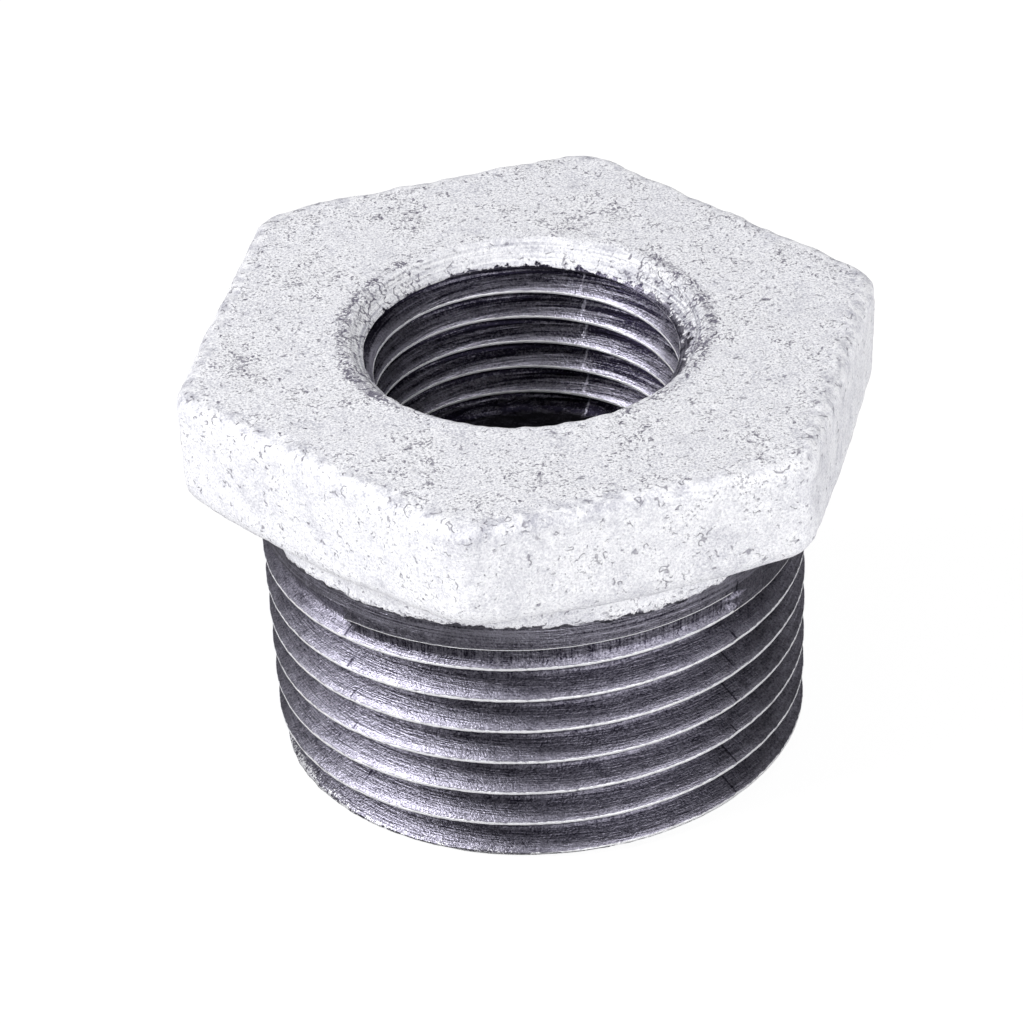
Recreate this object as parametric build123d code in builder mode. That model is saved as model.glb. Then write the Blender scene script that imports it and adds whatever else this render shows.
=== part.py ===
"""Hexagon reducing bushing: one malleable iron casting with a taper thread outside and a tapped bore inside."""
import math
import os

from build123d import *

# Sizes of the casting, in millimetres and degrees
overall_height = 27.7
head_height = 7.4
across_flats = 39.2
side_draft = 1.5
side_corner_radius = 2.2
top_edge_radius = 1.0
underside_edge_chamfer = 0.9
collar_radius = 17.0
collar_height = 2.8
collar_root_chamfer = 1.1

# Outer thread, size R 1 of the 55 degree pipe thread: right-handed, on a cone
outer_threads_per_inch = 11
outer_gauge_diameter = 33.249
outer_gauge_length = 10.4
outer_thread_length = 16.2
outer_runout_turns = 1.2
outer_end_chamfer = 0.45
taper_rise = 1 / 32

# Tapped bore, size Rp 1/2 of the same thread: right-handed, parallel, left at its minor diameter here
inner_threads_per_inch = 14
inner_major_diameter = 20.955
bore_length = 13.3
countersink_width = 1.3

# Cored cavity, from the bore down to the threaded end
cavity_radius = 12.0

# Form of the thread, in degrees and as shares of its pitch
flank_angle = 27.5
depth_share = 0.640327
crest_cut_share = 0.160082

# How far the cutter stands clear of the blank, and how far it has lifted out where the thread ends
cutter_clearance = 0.3
cutter_lift = 0.1

# Sizes that follow from the ones above
flank_slope = math.tan(math.radians(flank_angle))
outer_pitch = 25.4 / outer_threads_per_inch
outer_depth = depth_share * outer_pitch
inner_pitch = 25.4 / inner_threads_per_inch
bore_radius = inner_major_diameter / 2 - depth_share * inner_pitch
end_radius = outer_gauge_diameter / 2 - outer_gauge_length * taper_rise
neck_radius = end_radius + outer_thread_length * taper_rise
underside_height = overall_height - head_height
collar_base = underside_height - collar_height
bore_base = overall_height - bore_length
cavity_top = bore_base - (cavity_radius - bore_radius)
runout_rise = outer_runout_turns * outer_pitch
full_depth_end = outer_thread_length - runout_rise


def groove_cutter(start, rise, flare):
    """A right-hand groove's cutter that starts on +X at height start, its path widening by flare degrees."""
    crest = end_radius + start * taper_rise
    root = crest - outer_depth
    mouth = crest + cutter_clearance
    root_half = crest_cut_share * outer_pitch * flank_slope
    mouth_half = root_half + (mouth - root) * flank_slope
    slant = math.cos(math.radians(flare))
    with BuildPart() as cutter:
        with BuildLine() as path:
            Helix(
                pitch=outer_pitch / slant,
                height=rise / slant,
                radius=root,
                center=(0, 0, start),
                cone_angle=flare,
            )
        with BuildSketch(Plane.XZ):
            with BuildLine():
                Polyline(
                    (root, start - root_half),
                    (mouth, start - mouth_half),
                    (mouth, start + mouth_half),
                    (root, start + root_half),
                    close=True,
                )
            make_face()
        sweep(path=path.line, is_frenet=True)
    return cutter.part


# The groove has its full depth up the cone, then runs out where the mouth of the die cut less deep
groove_start = -outer_pitch
full_groove = groove_cutter(
    start=groove_start,
    rise=full_depth_end - groove_start,
    flare=math.degrees(math.atan(taper_rise)),
)
runout_groove = groove_cutter(
    start=full_depth_end,
    rise=runout_rise,
    flare=math.degrees(math.atan((outer_depth + cutter_lift) / runout_rise)),
)
runout_turn = 360 * (full_depth_end - groove_start) / outer_pitch

with BuildPart() as hex_bushing:
    # Blank of the head: six sides, drawn in a little towards the thread so the casting leaves its mould
    with BuildSketch(Plane.XY.offset(overall_height)):
        RegularPolygon(radius=across_flats / 2, side_count=6, major_radius=False)
        fillet(vertices(), radius=side_corner_radius)
    extrude(amount=-head_height, taper=side_draft)
    fillet(faces().sort_by(Axis.Z)[-1].edges(), radius=top_edge_radius)
    chamfer(faces().sort_by(Axis.Z)[0].edges(), length=underside_edge_chamfer)

    # Shank turned below it: thread cone, plain neck, and the cast collar that spreads into the head
    with BuildSketch(Plane.XZ):
        with BuildLine():
            Polyline(
                (0, 0),
                (end_radius - outer_end_chamfer, 0),
                (end_radius + outer_end_chamfer * taper_rise, outer_end_chamfer),
                (neck_radius, outer_thread_length),
                (neck_radius, collar_base),
                (collar_radius, collar_base),
                (collar_radius, underside_height - collar_root_chamfer),
                (collar_radius + collar_root_chamfer, underside_height),
                (0, underside_height),
                close=True,
            )
        make_face()
    revolve(axis=Axis.Z)

    # Hole right through: countersink, bore at the thread's minor diameter, and the wide cored cavity
    with BuildSketch(Plane.XZ):
        with BuildLine():
            Polyline(
                (0, 0),
                (cavity_radius, 0),
                (cavity_radius, cavity_top),
                (bore_radius, bore_base),
                (bore_radius, overall_height - countersink_width),
                (bore_radius + countersink_width, overall_height),
                (0, overall_height),
                close=True,
            )
        make_face()
    revolve(axis=Axis.Z, mode=Mode.SUBTRACT)

    # Outer thread, cut last
    add(full_groove, mode=Mode.SUBTRACT)
    add(runout_groove, rotation=(0, 0, runout_turn), mode=Mode.SUBTRACT)

hex_bushing.part.label = "hex_bushing"
os.makedirs("parts", exist_ok=True)
export_step(hex_bushing.part, "parts/hex_bushing.step")
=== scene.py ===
import math

import bmesh
import bpy
from mathutils import Matrix, Vector, noise


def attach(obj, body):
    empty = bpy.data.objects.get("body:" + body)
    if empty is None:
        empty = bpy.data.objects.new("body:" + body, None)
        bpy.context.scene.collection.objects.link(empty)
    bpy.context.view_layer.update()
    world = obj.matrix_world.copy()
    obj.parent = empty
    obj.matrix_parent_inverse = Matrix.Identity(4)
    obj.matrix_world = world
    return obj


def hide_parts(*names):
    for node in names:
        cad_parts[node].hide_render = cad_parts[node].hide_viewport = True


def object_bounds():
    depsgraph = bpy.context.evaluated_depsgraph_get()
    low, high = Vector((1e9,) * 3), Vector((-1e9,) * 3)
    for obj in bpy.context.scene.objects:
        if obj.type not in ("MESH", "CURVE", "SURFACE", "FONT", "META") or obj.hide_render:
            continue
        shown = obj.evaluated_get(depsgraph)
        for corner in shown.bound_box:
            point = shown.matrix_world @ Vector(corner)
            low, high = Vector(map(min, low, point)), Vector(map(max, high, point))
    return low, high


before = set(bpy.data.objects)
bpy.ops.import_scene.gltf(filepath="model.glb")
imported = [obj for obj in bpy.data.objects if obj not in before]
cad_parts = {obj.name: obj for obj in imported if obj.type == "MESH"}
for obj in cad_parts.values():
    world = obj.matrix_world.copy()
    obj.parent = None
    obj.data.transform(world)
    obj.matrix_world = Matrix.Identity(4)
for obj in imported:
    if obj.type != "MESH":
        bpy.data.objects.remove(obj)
cad_low, cad_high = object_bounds()

# Outer taper thread. It is cut into the grey iron after galvanising, by a die with four chasers
# that open a little under the collar, so the last groove gets shallower in four steps.
# The whole casting is one closed mesh, worked on in millimetres, and the thread is its first part.
thread_pitch = 25.4 / 11
depth_share = 0.640327
thread_depth = depth_share * thread_pitch
end_radius = 33.249 / 2 - 10.4 / 32
thread_taper = 1 / 32
end_chamfer = 0.5
neck_base = 15.9
neck_lowest = 15
neck_radius = 16.74
neck_margin = 0.1
collar_base = 17.45
chasers = 4
chaser_angle = math.radians(29.6)
chaser_step = 0.035
last_groove_height = 15.775
last_groove_lip = 0.2
lip_width = 0.1
step_shares = (0.25, 0.62, 0.85)
outer_steps = 216
sectors = 12

# Form of both threads: the root's rounding as a share of the pitch, and two points near the crest,
# each with its distance from the crest as a share of the pitch, and its share of the depth
root_rounding = 0.137329
flank_top = (0.055, 0.972)
crest_bend = (0.026, 0.995)

# The crest layer is 1 on a full crest and 0 in a root; these are its values in other places
shallow_crest = 0.6
neck_crest = 0.4
chamfer_crest = 0.5

# A wave is an amount, the size of its bumps and its seed; a chip is an angle, a height and a size
step_wave = (0.05, 0.5, 27)
crest_wave = (0.03, 0.7, 0)
cut_wave = (0.012, 2.5, 4)
burr_wave = (0.09, 0.6, 7)
chip_wave = (1, 0.25, 31)
chip_rise = 0.45
chips = ((math.radians(209.4), 15.75, 0.35), (math.radians(300.5), 16.7, 0.4))

# The shortest length that counts, how far apart vertices are merged, and how close a cut snaps
hair = 0.001
merge_distance = 0.002
snap_distance = 0.0001

casting = bmesh.new()
crest = casting.verts.layers.float.new("crest")
hexed = casting.verts.layers.float.new("hexed")
inset = casting.verts.layers.float.new("inset")
drop = casting.verts.layers.float.new("drop")
# The under layer marks the downward-facing flanks of both threads, which the finish darkens as painted
# shade
under = casting.verts.layers.float.new("under")
chatter = casting.verts.layers.float.new("chatter")
top_edge = casting.verts.layers.float.new("top_edge")
top_face = casting.verts.layers.float.new("top_face")
settled = casting.verts.layers.int.new("settled")


def loose_vertices():
    """The vertices of the part that is being shaped, which aren't settled yet."""
    return [vertex for vertex in casting.verts if not vertex[settled]]


def loose_geometry():
    """The vertices of the part that is being shaped, with their edges and faces."""
    corners = loose_vertices()
    edges = dict.fromkeys(edge for vertex in corners for edge in vertex.link_edges)
    faces = dict.fromkeys(face for vertex in corners for face in vertex.link_faces)
    return corners + list(edges) + list(faces)


def arc(*angles):
    """The sine and cosine of each angle in degrees along a rounding."""
    return [(math.sin(math.radians(angle)), math.cos(math.radians(angle))) for angle in angles]


def thread_form(pitch, depth):
    """Heights and depth shares of one pitch of thread, from its root to its narrow crest and on."""
    rounding = root_rounding * pitch
    half = [(rounding * sine, rounding * (1 - cosine) / depth) for sine, cosine in arc(0, 25, 47, 62.5)]
    low = half[-1]
    high = (pitch / 2 - flank_top[0] * pitch, flank_top[1])
    for share in (0.33, 0.67):
        half.append((low[0] + share * (high[0] - low[0]), low[1] + share * (high[1] - low[1])))
    half.append(high)
    half.append((pitch / 2 - crest_bend[0] * pitch, crest_bend[1]))
    half.append((pitch / 2, 1.0))
    return half + [(pitch - height, share) for height, share in reversed(half[:-1])]


def chain(points):
    """A row of new vertices joined by edges; a point is a radius, a height and its layers' values."""
    made = []
    for radius, height, values in points:
        vertex = casting.verts.new((radius, 0, height))
        for layer, value in values.items():
            vertex[layer] = value
        made.append(vertex)
    edges = [casting.edges.new(pair) for pair in zip(made, made[1:])]
    return made + edges


def spin_round(points, steps, turns=1, pitch=0.0):
    """Spins a chain through one sector, then repeats the sector round the axis and up a pitch a turn."""
    bmesh.ops.spin(
        casting,
        geom=chain(points),
        cent=(0, 0, 0),
        axis=(0, 0, 1),
        dvec=(0, 0, pitch / steps),
        angle=math.tau / sectors,
        steps=steps // sectors,
    )
    sector = loose_geometry()
    for number in range(1, sectors * turns):
        copied = bmesh.ops.duplicate(casting, geom=sector)["geom"]
        moved = [item for item in copied if isinstance(item, bmesh.types.BMVert)]
        turn = Matrix.Rotation(math.tau * number / sectors, 3, "Z")
        bmesh.ops.rotate(casting, verts=moved, cent=(0, 0, 0), matrix=turn)
        bmesh.ops.translate(casting, verts=moved, vec=(0, 0, pitch * number / sectors))
    bmesh.ops.remove_doubles(casting, verts=loose_vertices(), dist=merge_distance)


def thread_points(radius, pitch, depth, inward, start):
    """One pitch of thread as a chain, its crest at this radius; an inner thread's crest is inmost."""
    points = []
    for height, share in thread_form(pitch, depth):
        sunk = (1 - share) * depth
        shade = {crest: share, under: float(height < pitch / 2 - hair)}
        points.append((radius + sunk if inward else radius - sunk, start + height, shade))
    return points


def cut_level(height, keep_above=None):
    """Cuts the part that is being shaped at a height, and clears one side of the cut if asked."""
    bmesh.ops.bisect_plane(
        casting,
        geom=loose_geometry(),
        dist=snap_distance,
        plane_co=(0, 0, height),
        plane_no=(0, 0, 1),
        clear_inner=keep_above is True,
        clear_outer=keep_above is False,
    )


def rough(point, *layers):
    """Smooth noise in one or more layers, each from about minus to plus its amount."""
    total = 0
    for amount, size, seed in layers:
        total += amount * noise.noise(Vector(point) / size + Vector((seed, seed * 1.7, -seed)))
    return total


def set_radius(vertex, radius):
    """Moves a vertex straight out from the axis, or in."""
    scale = radius / math.hypot(vertex.co.x, vertex.co.y)
    vertex.co.x *= scale
    vertex.co.y *= scale


outer_thread = thread_points(end_radius, thread_pitch, thread_depth, False, -thread_pitch)
spin_round(outer_thread, outer_steps, turns=9, pitch=thread_pitch)
cut_level(0, keep_above=True)
cut_level(collar_base, keep_above=False)
for level in (end_chamfer * 0.5, end_chamfer):
    cut_level(level)

for vertex in loose_vertices():
    height = vertex.co.z
    angle = math.atan2(vertex.co.y, vertex.co.x) % math.tau
    helix = thread_pitch * angle / math.tau
    offset = (height - helix + thread_pitch / 2) % thread_pitch - thread_pitch / 2
    groove = height - offset
    cone = end_radius + height * thread_taper
    steps_left = (last_groove_height - groove) / (thread_pitch / chasers) + rough(vertex.co, step_wave)
    share = 1.0
    if steps_left < 0:
        share = 0.0
    elif steps_left < len(step_shares):
        share = step_shares[int(steps_left)]
    neck_edge = 0 <= steps_left < 1 and offset > last_groove_lip
    if neck_edge:
        share = 0.0
    full = cone - thread_depth * (1 - vertex[crest])
    radius = max(full, cone - thread_depth * share)
    if radius > full + hair:
        vertex[crest] = shallow_crest
        vertex[under] = 0.0
        if 0 <= steps_left < 1 and not neck_edge:
            vertex[chatter] = 1.0
    near_neck = height > neck_lowest and (height > neck_base or steps_left < 1)
    if near_neck and radius > neck_radius - neck_margin:
        radius = neck_radius
        vertex[under] = 0.0
        on_lip = neck_edge and offset < last_groove_lip + lip_width
        vertex[crest] = 1.0 if on_lip else neck_crest
    radius += vertex[crest] ** 6 * rough(vertex.co, crest_wave) + rough(vertex.co, cut_wave)
    radius += chaser_step * ((angle - chaser_angle) / (math.tau / chasers) % 1 - 0.5)
    for chip_angle, chip_height, chip_size in chips:
        away = math.hypot((angle - chip_angle) * radius, height - chip_height) / chip_size
        radius += chip_rise * chip_size * math.exp(-away * away) * (1 + rough(vertex.co, chip_wave))
    if height <= end_chamfer:
        bevelled = end_radius - end_chamfer + height + rough(vertex.co, burr_wave)
        if bevelled < radius:
            radius = bevelled
            vertex[crest] = min(vertex[crest], chamfer_crest)
    set_radius(vertex, radius)
    vertex[settled] = 1

# Hexagon head and collar. They keep the rough cast skin under a coat of hot zinc, with soft lumpy
# edges, sides that draw in towards the thread, and a collar that spreads into the head.
# The casting is a little off centre, so each side stands at its own distance from the axis.
overall_height = cad_high.z * 1000
side_distances = (18.76, 19.66, 19.38, 18.98, 20.11, 19.90)
corner_power = 38
collar_radius = 17.02
collar_levels = (collar_base, 17.75, 18.15, 18.6)
collar_blend = 0.95
underside_height = 19.85
underside_slope = math.tan(math.radians(12))
underside_ledge = 0.05
left_sag = 0.35
lower_rounding = 1.1
upper_rounding = 0.85
draft = math.tan(math.radians(1.5))
rim_radius = 10.8
rim_rounding = 0.7
countersink_angle = 45
provisional_reach = 1.5
head_columns = 432
side_rows = 12
face_rows = 30

blend_reach = collar_radius + collar_blend
side_reach = blend_reach + provisional_reach
side_low = underside_height + lower_rounding
side_high = overall_height - upper_rounding
face_start = rim_radius + rim_rounding * math.tan(math.radians(countersink_angle / 2))


def outline(angle, inwards):
    """Distance from the axis to the rounded hexagon that lies so far inside the head's own."""
    total = 0
    for index, distance in enumerate(side_distances):
        share = math.cos(angle - math.radians(30 + 60 * index)) / (distance - inwards)
        total += max(share, 0) ** corner_power
    return total ** (-1 / corner_power)


head_points = [(collar_radius, level, {}) for level in collar_levels]
for sine, cosine in arc(0, 30, 60, 90):
    up = underside_height - collar_blend * (1 - sine)
    head_points.append((blend_reach - collar_blend * cosine, up, {}))
for share in (0.25, 0.5, 0.75):
    across = blend_reach + share * provisional_reach
    head_points.append((across, underside_height, {hexed: share, inset: lower_rounding, drop: 1}))
for sine, cosine in arc(0, 22, 45, 68, 90):
    up = underside_height + lower_rounding * (1 - cosine)
    head_points.append((side_reach, up, {hexed: 1, inset: lower_rounding * (1 - sine), drop: 1}))
for row in range(1, side_rows):
    share = row / side_rows
    up = side_low + share * (side_high - side_low)
    head_points.append((side_reach, up, {hexed: 1, inset: 0, drop: 1 - share}))
for sine, cosine in arc(0, 18, 36, 54, 72, 90):
    up = overall_height - upper_rounding * (1 - sine)
    head_points.append((side_reach, up, {hexed: 1, inset: upper_rounding * (1 - cosine), drop: 0}))
for row in range(1, face_rows):
    share = 1 - row / face_rows
    across = face_start + share * (side_reach - face_start)
    head_points.append((across, overall_height, {hexed: share, inset: upper_rounding, drop: 0}))
for sine, cosine in arc(0, 15, 30, 45):
    up = overall_height - rim_rounding * (1 - cosine)
    head_points.append((face_start - rim_rounding * sine, up, {}))

spin_round(head_points, head_columns)
head = loose_vertices()
for vertex in head:
    angle = math.atan2(vertex.co.y, vertex.co.x)
    weight = vertex[hexed]
    if weight > 0:
        on_top = vertex.co.z > overall_height - hair
        inwards = vertex[inset]
        if not on_top:
            inwards += (overall_height - vertex.co.z) * draft
        edge = outline(angle, inwards)
        if vertex[drop] > 1 - hair:
            rounded = 0.5 * (lower_rounding - vertex[inset])
            edge = max(edge, blend_reach + underside_ledge + rounded)
        start = face_start if on_top else blend_reach
        radius = start + weight * (edge - start)
        sag = left_sag * max(0, -math.cos(angle)) ** 2
        vertex.co.z += ((radius - blend_reach) * underside_slope - sag) * vertex[drop]
        set_radius(vertex, radius)

# Lumps, dents and runs of the zinc, largest along the hexagon's edges and round the countersink
skin_waves = ((0.07, 3.4, 1), (0.05, 1.5, 2))
side_wave = (0.045, 0.75, 3)
face_calm = 0.6
rim_waves = ((0.09, 1.3, 17), (0.05, 0.6, 18))
rim_dent = 0.018
rim_reach = 0.7
rim_depth = 0.5
edge_wave = (0.17, 2.1, 5)
edge_reach = 1.3
edge_narrowing = 9
edge_start = 0.8
face_limit = 0.99
crumb_wave = (0.13, 0.95, 15)
crumbling = (1, 4.5, 25)
crumbling_share = 0.6
lip_wave = (0.16, 0.8, 6)
lip_height = 0.01
hem_wave = (0.3, 1.1, 8)

casting.normal_update()
moves = []
for vertex in head:
    place = vertex.co.copy()
    below = overall_height - place.z
    lump = rough(place, *skin_waves)
    if below < hair and vertex[hexed] < face_limit:
        vertex[top_face] = 1.0
        lump *= face_calm
    else:
        lump += rough(place, side_wave)
    on_rim = vertex[hexed] == 0 and below < rim_depth
    if on_rim or math.hypot(place.x, place.y) < rim_radius + rim_reach:
        lump += rough(place, *rim_waves) - rim_dent
    if vertex[hexed] > edge_start:
        vertex[top_edge] = max(0, 1 - max(below / edge_reach, (1 - vertex[hexed]) * edge_narrowing))
        crumbled = max(0, crumbling_share + rough(place, crumbling))
        lump += vertex[top_edge] * (rough(place, edge_wave) + crumbled * rough(place, crumb_wave))
    if place.z < collar_base + lip_height:
        lump += rough(place, lip_wave)
        moves.append((vertex, Vector((0, 0, rough(place, hem_wave)))))
    moves.append((vertex, vertex.normal * lump))
    vertex[settled] = 1
for vertex, move in moves:
    vertex.co += move

# Bore thread. A tap cuts the parallel thread through the narrow part of the bore, down from the
# countersink, and its last turn dies out where the rough cored hole begins.
bore_pitch = 25.4 / 14
bore_depth = depth_share * bore_pitch
bore_minor = 20.955 / 2 - bore_depth
bore_crest_height = 0.570
bore_base = 14.4
bore_top = overall_height - 0.26
bore_start = overall_height - bore_crest_height - 8 * bore_pitch
bore_steps = 156
thread_end = 15.9
thread_fade = 0.5
tap_angle = math.radians(52.6)
countersink_foot = overall_height - 1.35
cored_gap = 0.18
cored_wave = (0.12, 1.1, 12)
torn_waves = ((0.5, 1.4, 3), (0.3, 0.5, 9))
tap_wave = (0.02, 0.7, 14)
cone_wave = (0.05, 0.8, 11)

bore_thread = thread_points(bore_minor, bore_pitch, bore_depth, True, bore_start)
spin_round(bore_thread, bore_steps, turns=9, pitch=bore_pitch)
cut_level(bore_base, keep_above=True)
cut_level(bore_top, keep_above=False)
for vertex in loose_vertices():
    height = vertex.co.z
    radius = math.hypot(vertex.co.x, vertex.co.y)
    torn_height = thread_end + rough(vertex.co, *torn_waves)
    kept = min(max((height - torn_height) / thread_fade, 0), 1)
    cast_radius = bore_minor + cored_gap + rough(vertex.co, cored_wave)
    radius = kept * radius + (1 - kept) * cast_radius
    vertex[crest] *= kept
    radius += rough(vertex.co, tap_wave) * vertex[crest] ** 4
    bevelled = rim_radius - (overall_height - height) + rough(vertex.co, cone_wave)
    if bevelled > radius:
        radius = bevelled
        vertex[crest] = 0
    set_radius(vertex, radius)
    vertex[settled] = 1

# Cored cavity and end face. A sand core left the wide hollow below the bore, so its wall is rough;
# the end face was turned flat when the thread was cut. Rings of faces join it to the two threads.
cavity_radius = 12.0
cavity_top = bore_base - (cavity_radius - bore_minor)
cavity_gap = 0.2
mouth_rounding = 0.4
end_face_edge = 14.5
metres = 0.001
cavity_columns = 180
cone_rows = 5
wall_rows = 18
ring_rows = 7
cavity_waves = ((0.13, 2.2, 21), (0.07, 0.8, 22))

cone_start = bore_minor + cavity_gap
cone_top = bore_base - cavity_gap
mouth_edge = cavity_radius + mouth_rounding
cavity_points = []
for row in range(cone_rows + 1):
    share = row / cone_rows
    across = cone_start + share * (cavity_radius - cone_start)
    cavity_points.append((across, cone_top + share * (cavity_top - cone_top), {}))
for row in range(1, wall_rows + 1):
    up = cavity_top + row / wall_rows * (mouth_rounding - cavity_top)
    cavity_points.append((cavity_radius, up, {}))
for sine, cosine in arc(30, 60, 90):
    across = cavity_radius + mouth_rounding * (1 - cosine)
    cavity_points.append((across, mouth_rounding * (1 - sine), {}))
for row in range(1, ring_rows + 1):
    cavity_points.append((mouth_edge + row / ring_rows * (end_face_edge - mouth_edge), 0, {}))
spin_round(cavity_points, cavity_columns)
for vertex in loose_vertices():
    if vertex.co.z > hair:
        radius = math.hypot(vertex.co.x, vertex.co.y)
        set_radius(vertex, radius + rough(vertex.co, *cavity_waves))
    vertex[settled] = 1


def open_rings(near_radius, near_height, reach):
    """The open edges that lie round the axis near this radius and height."""
    found = []
    for edge in casting.edges:
        if edge.is_boundary:
            middle = (edge.verts[0].co + edge.verts[1].co) / 2
            across = abs(math.hypot(middle.x, middle.y) - near_radius)
            if across < reach and abs(middle.z - near_height) < reach:
                found.append(edge)
    return found


# The four joints: thread to collar, end face to thread, cavity to bore, and bore to countersink
for joint in (
    (neck_radius + 0.15, collar_base, 0.5),
    (end_face_edge + 0.7, 0, 0.9),
    (cone_start, bore_base - 0.1, 0.5),
    (rim_radius - 0.3, bore_top, 0.4),
):
    bmesh.ops.bridge_loops(casting, edges=open_rings(*joint))

bmesh.ops.recalc_face_normals(casting, faces=casting.faces)
for face in casting.faces:
    face.smooth = True
bmesh.ops.scale(casting, verts=casting.verts, vec=(metres, metres, metres))
bushing_mesh = bpy.data.meshes.new("bushing_casting")
casting.to_mesh(bushing_mesh)
open_edges = sum(not edge.is_manifold for edge in casting.edges)
triangles = sum(len(face.verts) - 2 for face in casting.faces)
print("casting", triangles, "triangles,", open_edges, "open edges")
casting.free()
for layer in ("hexed", "inset", "drop", "settled"):
    bushing_mesh.attributes.remove(bushing_mesh.attributes[layer])
bushing = bpy.data.objects.new("bushing_casting", bushing_mesh)
bpy.context.collection.objects.link(bushing)
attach(bushing, "root")
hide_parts("hex_bushing")

# Finish. The cast skin is matt white-grey zinc, mottled, with dark pits and specks; the cut threads
# are bare dark iron with fine turning lines, bright along their crests, partly burnished and partly a
# painted highlight, with painted shade in their roots and undersides; the cavity is dull and rough.
zinc_white = (0.87, 0.87, 0.90)
zinc_grey = (0.44, 0.44, 0.50)
zinc_speck = (0.10, 0.09, 0.14)
iron_grey = (0.55, 0.53, 0.635)
iron_dark = (0.03, 0.026, 0.048)
glint_white = (0.95, 0.95, 0.98)
cast_grey = (0.10, 0.095, 0.12)

# Radii between which one finish gives way to the next, from the bore outwards, then two heights
cone_zone = (10.6, 10.9)
rim_zone = (11.2, 12.0)
outside_zone = (11.6, 11.7)
cavity_zone = (12.3, 12.4)
end_edge_zone = (15.3, 15.8)
end_face_zone = (0.02, 0.06)
neck_zone = (16.1, 16.4)


class Shade:
    """A node's output that Python's operators work on, each adding one node to its tree."""

    def __init__(self, tree, socket=None):
        self.tree = tree
        self.socket = socket

    def node(self, kind, settings=None, inputs=None, output=0):
        """Adds a node: its settings first, then the values or links of its sockets."""
        made = self.tree.nodes.new(kind)
        for name, value in (settings or {}).items():
            setattr(made, name, value)
        for name, value in (inputs or {}).items():
            if isinstance(value, Shade):
                self.tree.links.new(value.socket, made.inputs[name])
            else:
                made.inputs[name].default_value = value
        return Shade(self.tree, made.outputs[output] if made.outputs else None)

    def maths(self, operation, *others):
        """One Math node on this value and others."""
        inputs = dict(enumerate((self, *others)))
        return self.node("ShaderNodeMath", {"operation": operation}, inputs)

    def __add__(self, other):
        return self.maths("ADD", other)

    def __sub__(self, other):
        return self.maths("SUBTRACT", other)

    def __mul__(self, other):
        return self.maths("MULTIPLY", other)

    def __rsub__(self, other):
        return self.node("ShaderNodeMath", {"operation": "SUBTRACT"}, {0: other, 1: self})

    __radd__ = __add__
    __rmul__ = __mul__

    def held(self, high=1.0):
        """This value, kept from 0 to high."""
        return self.maths("MINIMUM", high).maths("MAXIMUM", 0.0)

    def step(self, low, high):
        """0 below low, 1 above high, and a smooth rise between them."""
        inputs = {"Value": self, "From Min": low, "From Max": high}
        return self.node("ShaderNodeMapRange", {"interpolation_type": "SMOOTHSTEP"}, inputs)

    def mix(self, first, second):
        """A colour that goes from first to second as this value goes from 0 to 1."""
        ends = [(*end, 1) if isinstance(end, tuple) else end for end in (first, second)]
        return self.node("ShaderNodeMix", {"data_type": "RGBA"}, {0: self, 6: ends[0], 7: ends[1]}, 2)


galvanised = bpy.data.materials.new("galvanised_iron")
galvanised.use_nodes = True
galvanised.node_tree.nodes.clear()
tree = Shade(galvanised.node_tree)
object_point = tree.node("ShaderNodeTexCoord", output=3)
point = tree.node("ShaderNodeVectorMath", {"operation": "SCALE"}, {0: object_point, 3: 1000.0})
point_x, point_y, level = (
    tree.node("ShaderNodeSeparateXYZ", inputs={0: point}, output=number) for number in range(3)
)
from_axis = (point_x * point_x + point_y * point_y).maths("SQRT")
crest_share, painted_underside_shade, on_chatter, on_edge, on_face = (
    tree.node("ShaderNodeAttribute", {"attribute_name": name}, output=2)
    for name in ("crest", "under", "chatter", "top_edge", "top_face")
)


def from_plane(angle):
    """Distance of a point from the upright plane through the axis at this angle."""
    return (point_x * math.sin(angle) - point_y * math.cos(angle)).maths("ABSOLUTE")


def grain(scale, detail, roughness=0.5, shift=0, stretch=(1, 1, 1)):
    """Noise from 0 to 1 with so many features in a millimetre, moved and drawn out if asked."""
    inputs = {"Vector": point, "Location": (shift, -shift, shift), "Scale": stretch}
    place = tree.node("ShaderNodeMapping", {"vector_type": "TEXTURE"}, inputs)
    inputs = {"Vector": place, "Scale": scale, "Detail": detail, "Roughness": roughness}
    return tree.node("ShaderNodeTexNoise", inputs=inputs)


# Where each finish lies; the zinc's borders are torn, where the tools cut through it
torn = (grain(1.5, 3, 0.65) - 0.5) * 1.3
skin_outside = (level + torn * 0.75).step(collar_base + 0.04, collar_base + 0.08)
skin_inside = (level + torn).step(countersink_foot + 0.12, countersink_foot + 0.2)
is_outside = from_axis.step(*outside_zone)
is_inside = 1 - is_outside
skin = skin_inside + is_outside * (skin_outside - skin_inside)
at_rim = 1 - from_axis.step(*rim_zone)
on_cone = 1 - from_axis.step(*cone_zone)
on_neck = (level + torn * 0.2).step(*neck_zone)
on_end_face = 1 - level.step(*end_face_zone)
below_thread = 1 - (level + torn * 0.8).step(thread_end - 0.1, thread_end + 0.1)
cast_wall = (1 - from_axis.step(*cavity_zone)) * below_thread

# Zinc. Specks and cracks gather in clumps, at the collar's lip and on two sides of the countersink.
rings = grain(1.0, 2, 0.6, shift=41, stretch=(7, 7, 0.13))
clouds = grain(0.22, 2, 0.55, shift=9)
mottle = grain(0.9, 4, 0.7)
fine = grain(7.0, 1, 0.75)
speck_field = grain(5.5, 2, 0.65, shift=3)
pit_field = grain(2.6, 2, 0.6, shift=17)
crack_field = grain(0.8, 2, 0.6, shift=23)
crack_places = grain(1.6, 1, shift=29)
calm_plane = math.radians(74.2)

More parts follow.
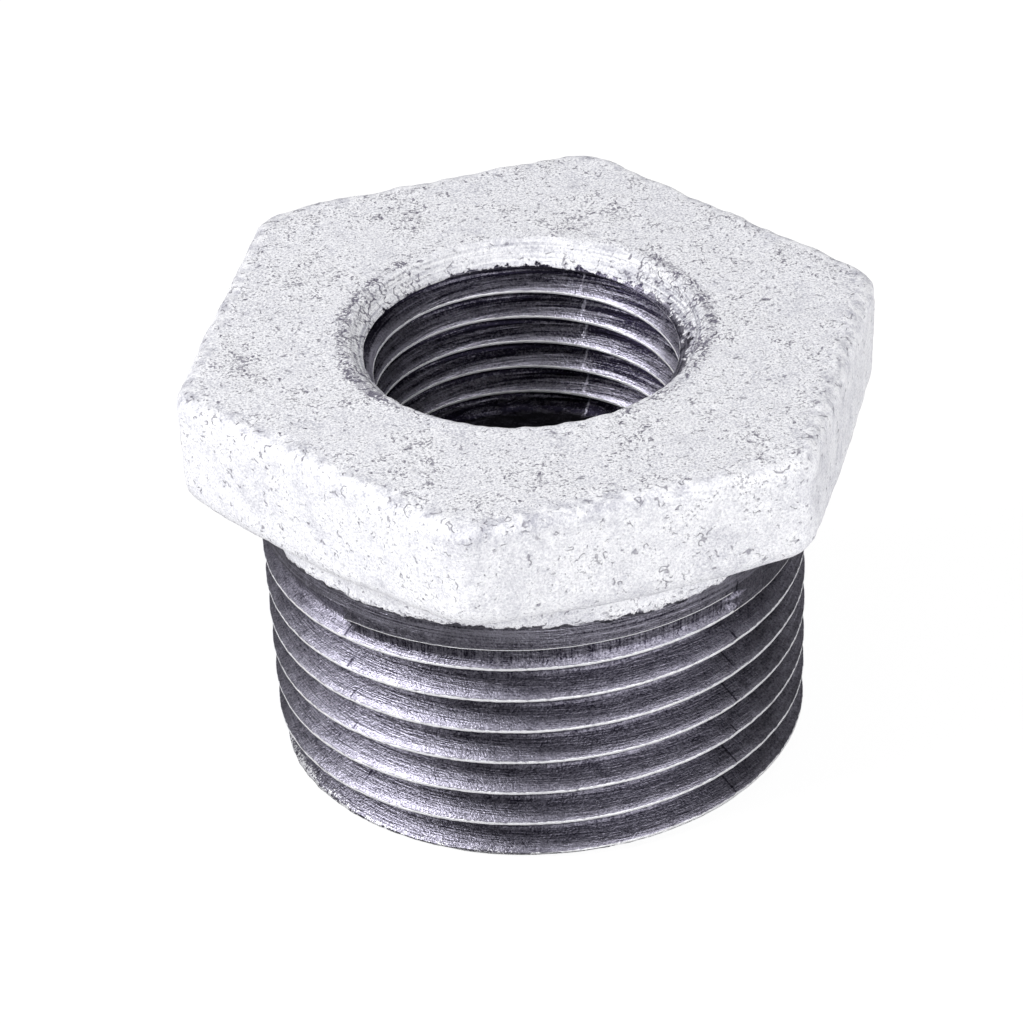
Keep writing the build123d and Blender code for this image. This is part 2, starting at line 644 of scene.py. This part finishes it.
flaked = at_rim * from_plane(calm_plane).step(4.0, 10.0)
at_lip = is_outside * (1 - (level - collar_base).step(0.1, 0.6))
clumps = mottle.step(0.50, 0.60)
bare = (clouds - 0.5) * 0.45 + (mottle - 0.5) * 0.4 + flaked * 0.14 + at_lip * 0.06
bare = bare - (1 - on_face) * 0.07
specks = (speck_field + bare).step(0.56, 0.68)
pits = (pit_field + bare * 0.3).step(0.64, 0.72)
cracks = 1 - (crack_field - 0.5).maths("ABSOLUTE").step(0.004, 0.030)
cracks = cracks * (crack_places + on_edge * 0.08 + flaked * 0.2 + at_lip * 0.1).step(0.59, 0.66)
zinc_tone = (mottle - 0.5) * 1.3 + (clouds - 0.5) * 1.1 + (fine - 0.5) * (1.7 + on_face)
# The top face's zinc is painted a little lighter than the sides, a painted light for how the lamps fall
# on it
zinc_tone = zinc_tone + on_face * 0.05 + on_edge * ((mottle - 0.5) * 2.0 - 0.05)
zinc_tone = zinc_tone + on_cone * (rings - 0.5) * (2.0 + flaked * 2.0)
zinc = (zinc_tone + 0.72).held().mix(zinc_grey, zinc_white)
marks = specks * (0.2 + clumps * 0.35 + on_face * 0.2 + flaked * 0.2)
marks = marks + pits * (0.45 + on_face * 0.25) + cracks * (0.6 + flaked * 0.3)
zinc = marks.held(0.9).mix(zinc, zinc_speck)

# Iron. Lines run round it; a seam shows where each chaser stopped, and a scratch where the tap did.
turning = grain(1.0, 2, 0.6, stretch=(2.4, 2.4, 0.06))
scuff = grain(1.3, 3, 0.7, shift=11)
hatch = grain(1.0, 2, 0.6, shift=4, stretch=(0.13, 0.13, 2.0))
wear = grain(3.0, 1, shift=6)
seam_gaps = grain(0.6, 1, shift=31)
ring_inputs = {0: from_axis * 5.0, 1: point_x * 0.1, 2: point_y * 0.1}
ring_place = tree.node("ShaderNodeCombineXYZ", inputs=ring_inputs)
end_rings = tree.node("ShaderNodeTexNoise", inputs={"Vector": ring_place, "Scale": 1.0, "Detail": 2.0})

from_seam = from_plane(chaser_angle).maths("MINIMUM", from_plane(chaser_angle + math.pi / 2))
seam = 1 - (from_seam + (scuff - 0.5) * 0.2).step(0.03, 0.09)
seam = seam * seam_gaps.step(0.44, 0.62) * is_outside
tap_mark = 1 - (from_plane(tap_angle) + (scuff - 0.5) * 0.5).step(0.03, 0.12)
iron_tone = (turning - 0.5) * 0.5 + (scuff - 0.5) * 0.7 + (fine - 0.5) * 1.2
# Painted shade and light: the iron is darker towards each root and lighter towards each crest, more so in
# the bore
iron_tone = iron_tone + (crest_share - 0.6) * (0.7 - is_outside * 0.4)
iron_tone = iron_tone + on_chatter * ((hatch - 0.5) * 1.5 - 0.16)
iron_tone = iron_tone + on_neck * ((rings - 0.5) * 2.4 + 0.25)
iron_tone = iron_tone + on_end_face * (end_rings - 0.5) * 2.5
# Painted shade: the bore's iron is darker all over; the tap's lighter scratch is a real mark
iron_tone = iron_tone + is_inside * (tap_mark * 0.9 - 0.3)
iron = (iron_tone + 0.5).held().mix(iron_dark, iron_grey)
# Painted shade: the downward-facing flanks are darkened towards iron_dark; the chasers' seams, darkened
# with them, are real marks
iron = (painted_underside_shade * 0.4 + seam * 0.85).held(0.9).mix(iron, iron_dark)
# Crests and the bottom edge are painted near white: partly burnished metal, partly a painted highlight
worn_and_glint = (crest_share + (wear - 0.5) * 0.04 + is_inside * 0.01).step(0.978, 0.994)
burr_and_glint = (0.42 - level + torn * 0.8 + (fine - 0.5) * 1.2).step(0.0, 0.1)
polish_and_glint = worn_and_glint + burr_and_glint * from_axis.step(*end_edge_zone) * 0.8
iron = polish_and_glint.held().mix(iron, glint_white)
iron = cast_wall.mix(iron, cast_grey)

zinc_relief = (mottle - 0.5) * 0.12 + (fine - 0.5) * 0.04 - specks * 0.02 - pits * 0.05 - cracks * 0.05
iron_relief = (turning - 0.5) * 0.04 + (fine - 0.5) * 0.035
relief = iron_relief + skin * (zinc_relief - iron_relief) + cast_wall * (mottle - 0.5) * 0.3
bumped = tree.node("ShaderNodeBump", inputs={"Strength": 1.0, "Distance": 0.001, "Height": relief})
surface = tree.node(
    "ShaderNodeBsdfPrincipled",
    inputs={
        "Base Color": skin.mix(iron, zinc),
        "Metallic": (1 - polish_and_glint * 0.5) * (1 - skin) + skin * 0.04,
        "Roughness": 0.44 + skin * 0.14 + (scuff - 0.5) * 0.2,
        "Normal": bumped,
        "Specular IOR Level": 0.25,
    },
)
tree.node("ShaderNodeOutputMaterial", inputs={"Surface": surface})
bushing_mesh.materials.append(galvanised)

# Floor: a plain pale sheet, white to the camera, that keeps a trace of the shadow under the bushing.
# In reflections it is dim, and so is the room, because the iron in the photo reflects dark surroundings.
floor_size = 3.0
floor_gap = 0.00002
floor_grey = (0.8, 0.8, 0.8, 1)
full_white = (1, 1, 1, 1)
shadow_share = 0.15
floor_glow = 1.09
gloss_dimming = 0.85
gloss_glow = 0.035

plane = bmesh.new()
bmesh.ops.create_grid(plane, x_segments=1, y_segments=1, size=floor_size / 2)
bmesh.ops.translate(plane, verts=plane.verts, vec=(0, 0, -floor_gap))
floor_mesh = bpy.data.meshes.new("floor")
plane.to_mesh(floor_mesh)
plane.free()
floor = bpy.data.objects.new("floor", floor_mesh)
bpy.context.collection.objects.link(floor)
pale = bpy.data.materials.new("pale_floor")
pale.use_nodes = True
pale.node_tree.nodes.clear()
sheet = Shade(pale.node_tree)
to_camera = sheet.node("ShaderNodeLightPath", output=0)
to_gloss = sheet.node("ShaderNodeLightPath", output=3)
matt = sheet.node("ShaderNodeBsdfDiffuse", inputs={"Color": floor_grey})
white = sheet.node("ShaderNodeEmission", inputs={"Color": full_white, "Strength": floor_glow})
dim = sheet.node("ShaderNodeEmission", inputs={"Color": full_white, "Strength": gloss_glow})
shown = sheet.node("ShaderNodeMixShader", inputs={0: to_camera * (1 - shadow_share), 1: matt, 2: white})
blend = sheet.node("ShaderNodeMixShader", inputs={0: to_gloss * gloss_dimming, 1: shown, 2: dim})
sheet.node("ShaderNodeOutputMaterial", inputs={"Surface": blend})
floor_mesh.materials.append(pale)

# Camera: a long lens from the photograph's side, about 33 degrees up, turned a little on its axis
camera_turn = math.radians(-105.815)
camera_rise = math.radians(33.116)
camera_roll = math.radians(2.745)
camera_distance = 0.439263
lens_length = 250.34
near_limit = 0.05
aim_height = 0.012
aim_shift = (0.001315, -0.002238)

backward = Vector((math.cos(camera_turn), math.sin(camera_turn), 0)) * math.cos(camera_rise)
backward.z = math.sin(camera_rise)
rightward = Vector((-math.sin(camera_turn), math.cos(camera_turn), 0))
upward = backward.cross(rightward)
aim = Vector((0, 0, aim_height))
camera_data = bpy.data.cameras.new("camera")
camera_data.lens = lens_length
camera_data.clip_start = near_limit
camera = bpy.data.objects.new("camera", camera_data)
bpy.context.collection.objects.link(camera)
camera_place = aim + backward * camera_distance - rightward * aim_shift[0] - upward * aim_shift[1]
turned_right = rightward * math.cos(camera_roll) - upward * math.sin(camera_roll)
turned_up = rightward * math.sin(camera_roll) + upward * math.cos(camera_roll)
axes = Matrix((turned_right, turned_up, backward)).transposed().to_4x4()
camera.matrix_world = Matrix.Translation(camera_place) @ axes
bpy.context.scene.camera = camera

# Light: a strong lamp on the left, three broad soft ones before, right of and behind the bushing,
# and a room that is white to the camera, lights the bushing a little, and is dim in reflections.
lamp_distance = 0.45
room_fill = 0.22
backdrop_glow = 1.0


def soft_lamp(name, turn, rise, size, power, mirrored=True):
    """A square lamp that faces the bushing; turn is measured from the camera's side."""
    lamp_data = bpy.data.lights.new(name, "AREA")
    lamp_data.shape = "SQUARE"
    lamp_data.size = size
    lamp_data.energy = power
    lamp = bpy.data.objects.new(name, lamp_data)
    lamp.visible_glossy = mirrored
    bpy.context.collection.objects.link(lamp)
    bearing = camera_turn + math.radians(turn)
    lift = math.radians(rise)
    way = Vector((math.cos(bearing) * math.cos(lift), math.sin(bearing) * math.cos(lift), math.sin(lift)))
    lamp.location = aim + way * lamp_distance
    lamp.rotation_mode = "QUATERNION"
    lamp.rotation_quaternion = way.to_track_quat("Z", "Y")


soft_lamp("key_lamp", -75, 38, 0.24, 2.05)
soft_lamp("front_lamp", 34, 16, 0.50, 2.1)
soft_lamp("right_lamp", 108, 20, 0.50, 0.65, mirrored=False)
soft_lamp("back_lamp", 170, 25, 0.50, 0.35)

room = bpy.data.worlds.new("room")
bpy.context.scene.world = room
room.use_nodes = True
room.node_tree.nodes.clear()
air = Shade(room.node_tree)
direct = air.node("ShaderNodeLightPath", output=0)
in_gloss = air.node("ShaderNodeLightPath", output=3)
fill = air.node("ShaderNodeBackground", inputs={"Color": full_white, "Strength": room_fill})
backdrop = air.node("ShaderNodeBackground", inputs={"Color": full_white, "Strength": backdrop_glow})
dusk = air.node("ShaderNodeBackground", inputs={"Color": full_white, "Strength": gloss_glow})
lit = air.node("ShaderNodeMixShader", inputs={0: direct, 1: fill, 2: backdrop})
lit = air.node("ShaderNodeMixShader", inputs={0: in_gloss, 1: lit, 2: dusk})
air.node("ShaderNodeOutputWorld", inputs={"Surface": lit})
bpy.context.scene.view_settings.view_transform = "Standard"
